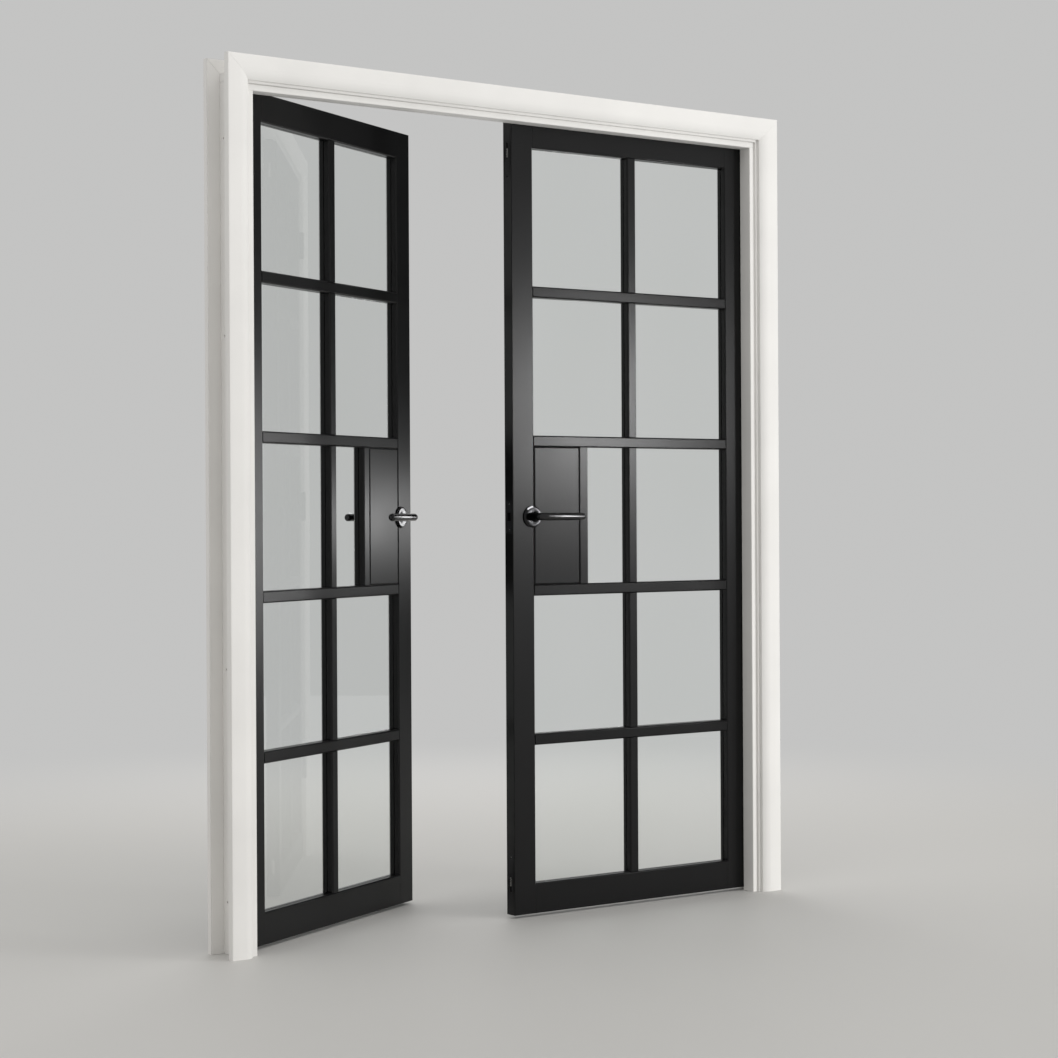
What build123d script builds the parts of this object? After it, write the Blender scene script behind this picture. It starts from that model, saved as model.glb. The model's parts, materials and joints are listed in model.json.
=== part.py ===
from build123d import *
import os
from math import cos, radians, sin

os.makedirs("parts", exist_ok=True)

# A pair of glazed doors in their frame, in millimetres.
# X = 0 is the middle of the doorway, Y = 0 the near faces of the closed leaves, Z = 0 the floor.
# Both leaves open away from the viewer, towards +Y. The left leaf stands partly open.

# Leaf timber
LEAF_HEIGHT = 1981
LEAF_WIDTH = 762
LEAF_THICK = 35
STILE_WIDTH = 66
TOP_RAIL_HEIGHT = 67
BOTTOM_RAIL_HEIGHT = 75
BAR_WIDTH = 28
PANE_ROWS = 5
SIGHT_CHAMFER = 3
OUTER_ARRIS = 1.2
TENON_LENGTH = 40
TENON_THICK = 12
TENON_SETBACK = 16
LOCK_BLOCK_WIDTH = 142
BLOCK_CHAMFER = 3

# Glazing
REBATE_WIDTH = 9
REBATE_DEPTH = 19.5
GLASS_THICK = 4
GLASS_CLEARANCE = 1
BEAD_CHAMFER = 5
BEAD_MITRE_GAP = 0.3

# Gaps round the closed leaves
FLOOR_GAP = 8
TOP_GAP = 3
MEETING_GAP = 3
HINGE_GAP = 2.5
LEFT_LEAF_OPENING = 27.5

# Frame timber
LINING_THICK = 30
LINING_WIDTH = 82
HEAD_TRENCH = 10
STOP_THICK = 15
STOP_WIDTH = 40
STOP_ROUND = 2
STOP_CLEARANCE = 1
ARCHITRAVE_WIDTH = 57
ARCHITRAVE_THICK = 18
ARCHITRAVE_MARGIN = 6
MOULDING_WIDTH = 26
MOULDING_EDGE = 8
ARCHITRAVE_ROUND = 3
FIXING_DIAMETER = 5.5
FIXING_HEAD_DIAMETER = 11
FIXING_FROM_END = 120

# Hinges
HINGE_HEIGHT = 76
HINGE_PLATE_THICK = 2.5
HINGE_PLATE_WIDTH = 28
HINGE_FROM_FOOT = 263
HINGE_FROM_TOP = 188
PIN_STANDOFF = 6
BARREL_DIAMETER = 11
PIN_DIAMETER = 5
PIN_CLEARANCE = 0.05
PIN_HEAD_DIAMETER = 7
PIN_HEAD_THICK = 1.5
KNUCKLES = 5
KNUCKLE_GAP = 0.3

# Countersunk wood screws
SCREW_HEAD_DIAMETER = 7
SCREW_DIAMETER = 3.5
SCREW_LENGTH = 20

# Handles
HANDLE_DROP = 2.5
BACKSET = 57
ROSE_DIAMETER = 55
ROSE_THICK = 9
ROSE_RIM = 5.5
ROSE_BEVEL = 4.5
ROSE_BOLT_SPACING = 38
ROSE_BOLT_DIAMETER = 5
ROSE_BOLT_DEPTH = 5
LEVER_DIAMETER = 19
LEVER_REACH = 129
LEVER_STANDOFF = 48
LEVER_BEND = 14
LEVER_END_ROUND = 6
LEVER_CLEARANCE = 0.1
LEVER_END_GAP = 0.5
SPINDLE_SIDE = 8
SPINDLE_SOCKET = 24
SPINDLE_HOLE_DIAMETER = 14.4

# Latch in the left leaf, striking into the right leaf
LATCH_THROW = 11
LATCH_TURN = 40
FOREND_HEIGHT = 82
FOREND_WIDTH = 25
FOREND_THICK = 3
CASE_HEIGHT = 50
CASE_THICK = 15
CASE_WALL = 2
BOLT_HEIGHT = 16
BOLT_LENGTH = 19
BOLT_NOSE = 2.5
SLIDE_CLEARANCE = 0.3
HUB_DIAMETER = 18
JOURNAL_DIAMETER = 14
JOURNAL_CLEARANCE = 0.08
ARM_WIDTH = 4
ARM_TIP_DIAMETER = 6
TAIL_THICK = 4
TAIL_WALL = 2.5
STRIKE_THICK = 2.5
STRIKE_HOLE_HEIGHT = 20
STRIKE_HOLE_WIDTH = 14
STRIKE_POCKET_DEPTH = 14
STRIKE_POCKET_MARGIN = 2
STRIKE_POCKET_SIDE = 0.5
PLATE_SCREW_INSET = 8

# Flush bolts in the meeting edge of the right leaf
BOLT_PLATE_LENGTH = 150
BOLT_PLATE_WIDTH = 19
BOLT_PLATE_THICK = 2.5
BOLT_BODY_WIDTH = 14
BOLT_BODY_DEPTH = 12
BOLT_FLANGE_LENGTH = 28
BOLT_EAR = 16
ROD_DIAMETER = 9
ROD_CLEARANCE = 0.1
ROD_THROW = 15
ROD_END_GAP = 0.5
THUMB_LENGTH = 22
THUMB_WIDTH = 6
THUMB_RIBS = 4
THUMB_GROOVE_DEPTH = 1
ROD_CHAMFER = 1
KEEP_LENGTH = 44
KEEP_THICK = 2
KEEP_CLEARANCE = 1

# Sizes that follow from the ones above
GLASS_FACE = LEAF_THICK - REBATE_DEPTH
DAYLIGHT_WIDTH = LEAF_WIDTH - 2 * STILE_WIDTH
PANE_WIDTH = (DAYLIGHT_WIDTH - BAR_WIDTH) / 2
DAYLIGHT_HEIGHT = LEAF_HEIGHT - TOP_RAIL_HEIGHT - BOTTOM_RAIL_HEIGHT
PANE_HEIGHT = (DAYLIGHT_HEIGHT - (PANE_ROWS - 1) * BAR_WIDTH) / PANE_ROWS
ROW_PITCH = PANE_HEIGHT + BAR_WIDTH
ROW_BOTTOMS = [BOTTOM_RAIL_HEIGHT + row * ROW_PITCH for row in range(PANE_ROWS)]
LOCK_ROW = PANE_ROWS // 2
LOCK_BOTTOM = ROW_BOTTOMS[LOCK_ROW]
LOCK_TOP = LOCK_BOTTOM + PANE_HEIGHT
LOCK_BAR_START = STILE_WIDTH + LOCK_BLOCK_WIDTH
NEAR_COLUMN = STILE_WIDTH
FAR_COLUMN = STILE_WIDTH + PANE_WIDTH + BAR_WIDTH

OPENING_HALF = MEETING_GAP / 2 + LEAF_WIDTH + HINGE_GAP
SOFFIT = FLOOR_GAP + LEAF_HEIGHT + TOP_GAP
JAMB_TOP = SOFFIT + HEAD_TRENCH
JAMB_BACK = OPENING_HALF + LINING_THICK
HEAD_TOP = SOFFIT + LINING_THICK
FRAME_NEAR = LEAF_THICK - LINING_WIDTH
MID_FRAME = LEAF_THICK - LINING_WIDTH / 2
MID_LEAF = LEAF_THICK / 2

PIN_X = OPENING_HALF - HINGE_GAP / 2
PIN_Y = LEAF_THICK + PIN_STANDOFF
KNUCKLE_HEIGHT = (HINGE_HEIGHT - (KNUCKLES - 1) * KNUCKLE_GAP) / KNUCKLES
LOW_HINGE = FLOOR_GAP + HINGE_FROM_FOOT
HIGH_HINGE = FLOOR_GAP + LEAF_HEIGHT - HINGE_FROM_TOP
MID_HINGE = (LOW_HINGE + HIGH_HINGE) / 2
HINGE_HEIGHTS = (LOW_HINGE, MID_HINGE, HIGH_HINGE)
FIXING_HEIGHTS = (FIXING_FROM_END, (LOW_HINGE + MID_HINGE) / 2, (MID_HINGE + HIGH_HINGE) / 2,
                  SOFFIT - FIXING_FROM_END)
LEFT_PIN = Axis((-PIN_X, PIN_Y, 0), (0, 0, 1))

HANDLE_Z = (LOCK_BOTTOM + LOCK_TOP) / 2 - HANDLE_DROP
ARM_SWING = radians(LATCH_TURN / 2)
ARM_REACH = LATCH_THROW / 2 / sin(ARM_SWING)
NOTCH_HALF = ARM_TIP_DIAMETER / 2 + SLIDE_CLEARANCE
NOTCH_TOP = ARM_REACH + ARM_TIP_DIAMETER / 2 + SLIDE_CLEARANCE
TAIL_LOW = HUB_DIAMETER / 2 + ARM_TIP_DIAMETER / 2 + SLIDE_CLEARANCE
TAIL_TOP = CASE_HEIGHT / 2 - CASE_WALL - SLIDE_CLEARANCE
BOLT_THICK = CASE_THICK - 2 * CASE_WALL - 2 * SLIDE_CLEARANCE
CASE_BACK = BACKSET + LATCH_THROW / 2 + NOTCH_HALF + TAIL_WALL + SLIDE_CLEARANCE + CASE_WALL
ROD_X = BOLT_PLATE_THICK + BOLT_BODY_DEPTH / 2

# The leaf's own frame: X from the meeting edge towards the hinges, Y and Z as above, Z = 0 its foot.
LATCH_PLANE = Plane(origin=(0, MID_LEAF, HANDLE_Z), x_dir=(1, 0, 0), z_dir=(0, -1, 0))
LEAF_MID_PLANE = Plane.XZ.offset(-MID_LEAF)
LEAF_MID_HEIGHT = Plane.XY.offset(LEAF_HEIGHT / 2)
CORNER = (Align.MIN, Align.MIN, Align.MIN)


def block(low, high, mode=Mode.ADD):
    """Box between its lowest and its highest corner, for the builder that is open."""
    with Locations(low):
        Box(high[0] - low[0], high[1] - low[1], high[2] - low[2], align=CORNER, mode=mode)


def image(piece, plane):
    """Mirror image of a piece."""
    with BuildPart() as other:
        mirror(piece.part, about=plane)
    return other


def save(piece, name):
    """Label a finished piece and write its file."""
    piece.part.label = name
    export_step(piece.part, f"parts/{name}.step")


def hang(piece, side, name):
    """Take a piece from the leaf's own frame to the closed right leaf, or to the open left leaf."""
    placed = piece.part.moved(Location((MEETING_GAP / 2, 0, FLOOR_GAP)))
    if side == "left":
        placed = placed.mirror(Plane.YZ).rotate(LEFT_PIN, LEFT_LEAF_OPENING)
    with BuildPart() as hung:
        add(placed)
    save(hung, name)


# Screws

def screw():
    """Countersunk screw with its head's face at the origin, driven towards -Z."""
    head = SCREW_HEAD_DIAMETER / 2
    shank = SCREW_DIAMETER / 2
    with BuildPart() as fastener:
        with BuildSketch(Plane.XZ):
            with BuildLine():
                Polyline((0, 0), (head, 0), (shank, shank - head), (shank, -SCREW_LENGTH),
                         (0, -SCREW_LENGTH), close=True)
            make_face()
        revolve(axis=Axis.Z)
    return fastener


def screw_set(places):
    """Screws at several places, which also cut their own seats and pilot holes."""
    fastener = screw()
    with BuildPart() as fasteners:
        with Locations(*places):
            add(fastener.part)
    return fasteners


def hinge_screw_places(face_x, faces_hinge, base_z):
    """Three screws in each plate, staggered as on a butt hinge."""
    turn = 90 if faces_hinge else -90
    mid_y = PIN_Y - PIN_STANDOFF - HINGE_PLATE_WIDTH / 2
    rise = HINGE_HEIGHT / 2 - PLATE_SCREW_INSET
    stagger = HINGE_PLATE_WIDTH / 5
    spots = ((stagger, rise), (-stagger, 0), (stagger, -rise))
    return [Location((face_x, mid_y + y, z - base_z + dz), (0, turn, 0))
            for z in HINGE_HEIGHTS for y, dz in spots]


def edge_screw_places(mid_z, height):
    """Two screws in a plate let into the meeting edge."""
    reach = height / 2 - PLATE_SCREW_INSET
    return [Location((0, MID_LEAF, mid_z + dz), (0, -90, 0)) for dz in (-reach, reach)]


BOLT_EAR_RISE = BOLT_PLATE_LENGTH - PLATE_SCREW_INSET
BOLT_FLANGE_X = BOLT_FLANGE_LENGTH - PLATE_SCREW_INSET
BOLT_SCREW_PLACES = [Location((0, MID_LEAF, BOLT_EAR_RISE), (0, -90, 0)),
                     Location((0, MID_LEAF, LEAF_HEIGHT - BOLT_EAR_RISE), (0, -90, 0)),
                     Location((BOLT_FLANGE_X, MID_LEAF, 0), (180, 0, 0)),
                     Location((BOLT_FLANGE_X, MID_LEAF, LEAF_HEIGHT))]
LEAF_HINGE_SCREWS = hinge_screw_places(LEAF_WIDTH, True, FLOOR_GAP)
FOREND_SCREWS = edge_screw_places(HANDLE_Z, FOREND_HEIGHT)
LEAF_SCREWS = {"left": LEAF_HINGE_SCREWS + FOREND_SCREWS,
               "right": LEAF_HINGE_SCREWS + FOREND_SCREWS + BOLT_SCREW_PLACES}
KEEP_SCREWS = [Location((MEETING_GAP / 2 + ROD_X + dx, MID_LEAF, SOFFIT), (180, 0, 0))
               for dx in (PLATE_SCREW_INSET - KEEP_LENGTH / 2, KEEP_LENGTH / 2 - PLATE_SCREW_INSET)]
JAMB_HINGE_SCREWS = hinge_screw_places(OPENING_HALF, False, 0)


# Leaf timber, in the leaf's own frame

def sight_cut():
    """What the mitred chamfers round the glazed part take off, widest at the near face."""
    middle = (LEAF_WIDTH / 2, 0, BOTTOM_RAIL_HEIGHT + DAYLIGHT_HEIGHT / 2)
    with BuildPart() as cut:
        with BuildSketch(Plane(origin=middle, x_dir=(1, 0, 0), z_dir=(0, 1, 0))):
            Rectangle(DAYLIGHT_WIDTH + 2 * SIGHT_CHAMFER, DAYLIGHT_HEIGHT + 2 * SIGHT_CHAMFER)
        extrude(amount=SIGHT_CHAMFER, taper=45)
    return cut


def stile_blank():
    """Meeting stile before its locks: rebated and chamfered on the glass side, full height."""
    with BuildPart() as timber:
        with BuildSketch(Plane.XY):
            with BuildLine():
                Polyline((OUTER_ARRIS, 0), (STILE_WIDTH, 0), (STILE_WIDTH, GLASS_FACE),
                         (STILE_WIDTH - REBATE_WIDTH, GLASS_FACE),
                         (STILE_WIDTH - REBATE_WIDTH, LEAF_THICK), (OUTER_ARRIS, LEAF_THICK),
                         (0, LEAF_THICK - OUTER_ARRIS), (0, OUTER_ARRIS), close=True)
            make_face()
        extrude(amount=LEAF_HEIGHT)
        for foot, height in ((0, BOTTOM_RAIL_HEIGHT),
                             (LEAF_HEIGHT - TOP_RAIL_HEIGHT, TOP_RAIL_HEIGHT)):
            block((STILE_WIDTH - TENON_LENGTH, MID_LEAF - TENON_THICK / 2, foot + TENON_SETBACK),
                  (STILE_WIDTH, MID_LEAF + TENON_THICK / 2, foot + height - TENON_SETBACK),
                  mode=Mode.SUBTRACT)
        add(sight_cut().part, mode=Mode.SUBTRACT)
    return timber


def lock_cuts(side):
    """What the lock side of a leaf is bored and mortised for."""
    half_case = CASE_THICK / 2
    with BuildPart() as cuts:
        with BuildSketch(LATCH_PLANE):
            with Locations((BACKSET, 0)):
                Circle(SPINDLE_HOLE_DIAMETER / 2)
            with Locations((BACKSET, 0)), GridLocations(ROSE_BOLT_SPACING, 0, 2, 1):
                Circle(ROSE_BOLT_DIAMETER / 2)
        extrude(amount=LEAF_THICK, both=True)
        if side == "left":
            block((0, MID_LEAF - FOREND_WIDTH / 2, HANDLE_Z - FOREND_HEIGHT / 2),
                  (FOREND_THICK, MID_LEAF + FOREND_WIDTH / 2, HANDLE_Z + FOREND_HEIGHT / 2))
            block((FOREND_THICK, MID_LEAF - half_case, HANDLE_Z - CASE_HEIGHT / 2),
                  (CASE_BACK, MID_LEAF + half_case, HANDLE_Z + CASE_HEIGHT / 2))
        else:
            pocket_width = STRIKE_HOLE_WIDTH / 2 + STRIKE_POCKET_SIDE
            pocket_height = STRIKE_HOLE_HEIGHT / 2 + STRIKE_POCKET_MARGIN
            block((0, MID_LEAF - FOREND_WIDTH / 2, HANDLE_Z - FOREND_HEIGHT / 2),
                  (STRIKE_THICK, MID_LEAF + FOREND_WIDTH / 2, HANDLE_Z + FOREND_HEIGHT / 2))
            block((0, MID_LEAF - pocket_width, HANDLE_Z - pocket_height),
                  (STRIKE_THICK + STRIKE_POCKET_DEPTH, MID_LEAF + pocket_width,
                   HANDLE_Z + pocket_height))
    return cuts


def bolt_blank():
    """Outside of a flush bolt's body: edge plate, end flange and the housing behind the plate."""
    foot = LEAF_HEIGHT - BOLT_PLATE_LENGTH
    with BuildPart() as blank:
        block((0, MID_LEAF - BOLT_PLATE_WIDTH / 2, foot),
              (BOLT_PLATE_THICK, MID_LEAF + BOLT_PLATE_WIDTH / 2, LEAF_HEIGHT))
        block((0, MID_LEAF - BOLT_PLATE_WIDTH / 2, LEAF_HEIGHT - BOLT_PLATE_THICK),
              (BOLT_FLANGE_LENGTH, MID_LEAF + BOLT_PLATE_WIDTH / 2, LEAF_HEIGHT))
        block((0, MID_LEAF - BOLT_BODY_WIDTH / 2, foot + BOLT_EAR),
              (BOLT_PLATE_THICK + BOLT_BODY_DEPTH, MID_LEAF + BOLT_BODY_WIDTH / 2, LEAF_HEIGHT))
    return blank


def meeting_stile(side):
    """Stile on the meeting edge, cut for the latch, or for the strike and the flush bolts."""
    blank = bolt_blank()
    with BuildPart() as stile:
        add(stile_blank().part)
        add(lock_cuts(side).part, mode=Mode.SUBTRACT)
        add(screw_set(FOREND_SCREWS).part, mode=Mode.SUBTRACT)
        if side == "right":
            add(blank.part, mode=Mode.SUBTRACT)
            mirror(blank.part, about=LEAF_MID_HEIGHT, mode=Mode.SUBTRACT)
            add(screw_set(BOLT_SCREW_PLACES).part, mode=Mode.SUBTRACT)
    return stile


def hinge_stile():
    """Stile on the hinge edge, recessed flush for the hinge plates."""
    with BuildPart() as stile:
        mirror(stile_blank().part, about=Plane.YZ.offset(LEAF_WIDTH / 2))
        for middle in HINGE_HEIGHTS:
            foot = middle - HINGE_HEIGHT / 2 - FLOOR_GAP
            block((LEAF_WIDTH - HINGE_PLATE_THICK, LEAF_THICK - HINGE_PLATE_WIDTH, foot),
                  (LEAF_WIDTH, LEAF_THICK, foot + HINGE_HEIGHT), mode=Mode.SUBTRACT)
        add(screw_set(LEAF_HINGE_SCREWS).part, mode=Mode.SUBTRACT)
    return stile


def rail_blank(height):
    """Rail at the foot, before its chamfer: shoulders fitted to the rebates, a tenon at each end."""
    with BuildPart() as timber:
        block((STILE_WIDTH, 0, 0), (LEAF_WIDTH - STILE_WIDTH, GLASS_FACE, height))
        block((STILE_WIDTH - REBATE_WIDTH, GLASS_FACE, 0),
              (LEAF_WIDTH - STILE_WIDTH + REBATE_WIDTH, LEAF_THICK, height - REBATE_WIDTH))
        block((STILE_WIDTH - TENON_LENGTH, MID_LEAF - TENON_THICK / 2, TENON_SETBACK),
              (LEAF_WIDTH - STILE_WIDTH + TENON_LENGTH, MID_LEAF + TENON_THICK / 2,
               height - TENON_SETBACK))
    return timber


def rail(blank):
    """Rail in its place, with its share of the chamfers round the glazed part."""
    with BuildPart() as timber:
        add(blank.part)
        add(sight_cut().part, mode=Mode.SUBTRACT)
    return timber


def glazing_bar(length):
    """Bar along X from the origin: chamfered near part, and a web that runs on into the rebates."""
    half = BAR_WIDTH / 2
    web = half - REBATE_WIDTH
    with BuildPart() as bar:
        with BuildSketch(Plane.YZ):
            with BuildLine():
                Polyline((0, SIGHT_CHAMFER - half), (0, half - SIGHT_CHAMFER), (SIGHT_CHAMFER, half),
                         (GLASS_FACE, half), (GLASS_FACE, -half), (SIGHT_CHAMFER, -half), close=True)
            make_face()
        extrude(amount=length)
        block((-REBATE_WIDTH, GLASS_FACE, -web), (length + REBATE_WIDTH, LEAF_THICK, web))
    return bar


def cross_bars():
    """Bars that run from stile to stile between the rows of panes."""
    bar = glazing_bar(DAYLIGHT_WIDTH)
    with BuildPart() as bars:
        with Locations(*[(STILE_WIDTH, 0, foot - BAR_WIDTH / 2) for foot in ROW_BOTTOMS[1:]]):
            add(bar.part)
    return bars


def upright_bars():
    """Short bars that part the two panes of each row."""
    bar = glazing_bar(PANE_HEIGHT)
    mid_x = NEAR_COLUMN + PANE_WIDTH + BAR_WIDTH / 2
    with BuildPart() as bars:
        with Locations(*[(mid_x, 0, foot) for foot in ROW_BOTTOMS]):
            add(bar.part, rotation=(0, -90, 0))
    return bars


def lock_block(side):
    """Solid block beside the meeting stile that takes the handle, chamfered to a groove all round."""
    with BuildPart() as timber:
        block((STILE_WIDTH, 0, LOCK_BOTTOM), (LOCK_BAR_START, LEAF_THICK, LOCK_TOP))
        chamfer(timber.faces().sort_by(Axis.Y)[0].edges(), BLOCK_CHAMFER)
        block((STILE_WIDTH - REBATE_WIDTH, GLASS_FACE, LOCK_BOTTOM - REBATE_WIDTH),
              (LOCK_BAR_START, LEAF_THICK, LOCK_TOP + REBATE_WIDTH))
        add(lock_cuts(side).part, mode=Mode.SUBTRACT)
    return timber


def lock_bar():
    """Upright bar against the lock block, rebated for the narrow pane beside it."""
    end = LOCK_BAR_START + BAR_WIDTH
    with BuildPart() as bar:
        with BuildSketch(Plane.XY.offset(LOCK_BOTTOM)):
            with BuildLine():
                Polyline((LOCK_BAR_START + SIGHT_CHAMFER, 0), (end - SIGHT_CHAMFER, 0),
                         (end, SIGHT_CHAMFER), (end, GLASS_FACE), (LOCK_BAR_START, GLASS_FACE),
                         (LOCK_BAR_START, SIGHT_CHAMFER), close=True)
            make_face()
        extrude(amount=PANE_HEIGHT)
        block((LOCK_BAR_START, GLASS_FACE, LOCK_BOTTOM - REBATE_WIDTH),
              (end - REBATE_WIDTH, LEAF_THICK, LOCK_TOP + REBATE_WIDTH))
    return bar


# Glazing

def panes():
    """Left edge, foot and width of each sight opening."""
    narrow_start = LOCK_BAR_START + BAR_WIDTH
    narrow_width = NEAR_COLUMN + PANE_WIDTH - narrow_start
    openings = []
    for row, foot in enumerate(ROW_BOTTOMS):
        openings.append((FAR_COLUMN, foot, PANE_WIDTH))
        if row == LOCK_ROW:
            openings.append((narrow_start, foot, narrow_width))
        else:
            openings.append((NEAR_COLUMN, foot, PANE_WIDTH))
    return openings


def glass():
    """Panes standing in the rebates with a little clearance all round."""
    lap = REBATE_WIDTH - GLASS_CLEARANCE
    with BuildPart() as sheets:
        for left, foot, width in panes():
            block((left - lap, GLASS_FACE, foot - lap),
                  (left + width + lap, GLASS_FACE + GLASS_THICK, foot + PANE_HEIGHT + lap))
    return sheets


def bead(opening):
    """Glazing bead along X for one side of an opening, mitred, with its outer edge at Z = 0."""
    length = opening + 2 * REBATE_WIDTH
    with BuildPart() as stick:
        with BuildSketch(Plane.XZ.offset(-LEAF_THICK)):
            with BuildLine():
                Polyline((BEAD_MITRE_GAP, 0), (length - BEAD_MITRE_GAP, 0),
                         (length - BEAD_MITRE_GAP - REBATE_WIDTH, REBATE_WIDTH),
                         (BEAD_MITRE_GAP + REBATE_WIDTH, REBATE_WIDTH), close=True)
            make_face()
        extrude(amount=REBATE_DEPTH - GLASS_THICK)
        sight_edges = stick.edges().filter_by(Axis.X).group_by(Axis.Z)[-1]
        chamfer(sight_edges.sort_by(Axis.Y)[-1], BEAD_CHAMFER)
    return stick


def beads():
    """Four mitred beads round the far side of every pane."""
    lying = {}
    standing = []
    for left, foot, width in panes():
        low_x = left - REBATE_WIDTH
        high_x = left + width + REBATE_WIDTH
        low_z = foot - REBATE_WIDTH
        high_z = foot + PANE_HEIGHT + REBATE_WIDTH
        ends = [Location((low_x, 0, low_z)), Location((high_x, 0, high_z), (0, 180, 0))]
        lying.setdefault(width, []).extend(ends)
        standing += [Location((low_x, 0, high_z), (0, 90, 0)),
                     Location((high_x, 0, low_z), (0, -90, 0))]
    upright = bead(PANE_HEIGHT)
    across = {width: bead(width) for width in lying}
    with BuildPart() as sticks:
        with Locations(*standing):
            add(upright.part)
        for width, places in lying.items():
            with Locations(*places):
                add(across[width].part)
    return sticks


# Hinges: the pin stands at the origin, the jamb on the +X side

def hinge_half(knuckles, bore):
    """Plate and knuckles of the half that goes on the jamb."""
    plate_x = HINGE_GAP / 2
    tongue = PIN_STANDOFF / 2
    with BuildPart() as half:
        block((plate_x, -PIN_STANDOFF - HINGE_PLATE_WIDTH, 0),
              (plate_x + HINGE_PLATE_THICK, -PIN_STANDOFF, HINGE_HEIGHT))
        for knuckle in knuckles:
            with BuildSketch(Plane.XY.offset(knuckle * (KNUCKLE_HEIGHT + KNUCKLE_GAP))):
                Circle(BARREL_DIAMETER / 2)
                with Locations((plate_x + HINGE_PLATE_THICK / 2, -tongue)):
                    Rectangle(HINGE_PLATE_THICK, PIN_STANDOFF)
                Circle(bore / 2, mode=Mode.SUBTRACT)
            extrude(amount=KNUCKLE_HEIGHT)
    return half


def hinge_set(half, x, base_z):
    """The same half at each of a leaf's hinges."""
    with BuildPart() as halves:
        with Locations(*[(x, PIN_Y, z - HINGE_HEIGHT / 2 - base_z) for z in HINGE_HEIGHTS]):
            add(half.part)
    return halves


def hinge_pin():
    """Pin with a button head at each end of the barrel."""
    with BuildPart() as pin:
        Cylinder(PIN_DIAMETER / 2, HINGE_HEIGHT, align=(Align.CENTER, Align.CENTER, Align.MIN))
        with Locations((0, 0, -PIN_HEAD_THICK), (0, 0, HINGE_HEIGHT)):
            Cylinder(PIN_HEAD_DIAMETER / 2, PIN_HEAD_THICK, align=(Align.CENTER, Align.CENTER, Align.MIN))
    return pin


# Handles, in the leaf's own frame, on its near face

def rose():
    """Round rose: a cover with a bevelled rim, bored for the lever's neck and the fixing bolts."""
    radius = ROSE_DIAMETER / 2
    bore = LEVER_DIAMETER / 2 + LEVER_CLEARANCE
    with BuildPart() as cover:
        with BuildSketch(Plane(origin=(BACKSET, 0, HANDLE_Z), x_dir=(1, 0, 0), z_dir=(0, 0, 1))):
            with BuildLine():
                Polyline((bore, 0), (radius, 0), (radius, -ROSE_RIM), (radius - ROSE_BEVEL, -ROSE_THICK),
                         (bore, -ROSE_THICK), close=True)
            make_face()
        revolve(axis=Axis((BACKSET, 0, HANDLE_Z), (0, 1, 0)))
        with BuildSketch(Plane(origin=(BACKSET, 0, HANDLE_Z), x_dir=(1, 0, 0), z_dir=(0, -1, 0))):
            with GridLocations(ROSE_BOLT_SPACING, 0, 2, 1):
                Circle(ROSE_BOLT_DIAMETER / 2)
        extrude(amount=ROSE_BOLT_DEPTH, mode=Mode.SUBTRACT)
    return cover


def lever():
    """Lever of one bent round bar: neck, bend and grip towards the hinges, with a domed end."""
    start = (BACKSET, -LEVER_END_GAP, HANDLE_Z)
    bend = (BACKSET, -LEVER_STANDOFF, HANDLE_Z)
    tip = (BACKSET + LEVER_REACH, -LEVER_STANDOFF, HANDLE_Z)
    with BuildPart() as handle:
        with BuildLine():
            FilletPolyline(start, bend, tip, radius=LEVER_BEND)
        with BuildSketch(Plane(origin=start, x_dir=(1, 0, 0), z_dir=(0, -1, 0))):
            Circle(LEVER_DIAMETER / 2)
        sweep()
        fillet(handle.faces().sort_by(Axis.X)[-1].edges(), LEVER_END_ROUND)
        side = SPINDLE_SIDE / 2
        block((BACKSET - side, -LEVER_END_GAP - SPINDLE_SOCKET, HANDLE_Z - side),
              (BACKSET + side, 0, HANDLE_Z + side), mode=Mode.SUBTRACT)
    return handle


def spindle():
    """Square bar through the leaf that joins the two levers."""
    side = SPINDLE_SIDE / 2
    reach = LEVER_END_GAP + SPINDLE_SOCKET
    with BuildPart() as bar:
        block((BACKSET - side, -reach, HANDLE_Z - side),
              (BACKSET + side, LEAF_THICK + reach, HANDLE_Z + side))
    return bar


def pair(piece):
    """A near piece with its image on the far face."""
    with BuildPart() as both:
        add(piece.part)
        mirror(piece.part, about=LEAF_MID_PLANE)
    return both


def rose_bolts():
    """Bolts through the leaf from the near rose into the far one."""
    with BuildPart() as bolts:
        with BuildSketch(LATCH_PLANE):
            with Locations((BACKSET, 0)), GridLocations(ROSE_BOLT_SPACING, 0, 2, 1):
                Circle(ROSE_BOLT_DIAMETER / 2)
        extrude(amount=MID_LEAF + ROSE_BOLT_DEPTH, both=True)
    return bolts


# Latch, in the leaf's own frame

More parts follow.
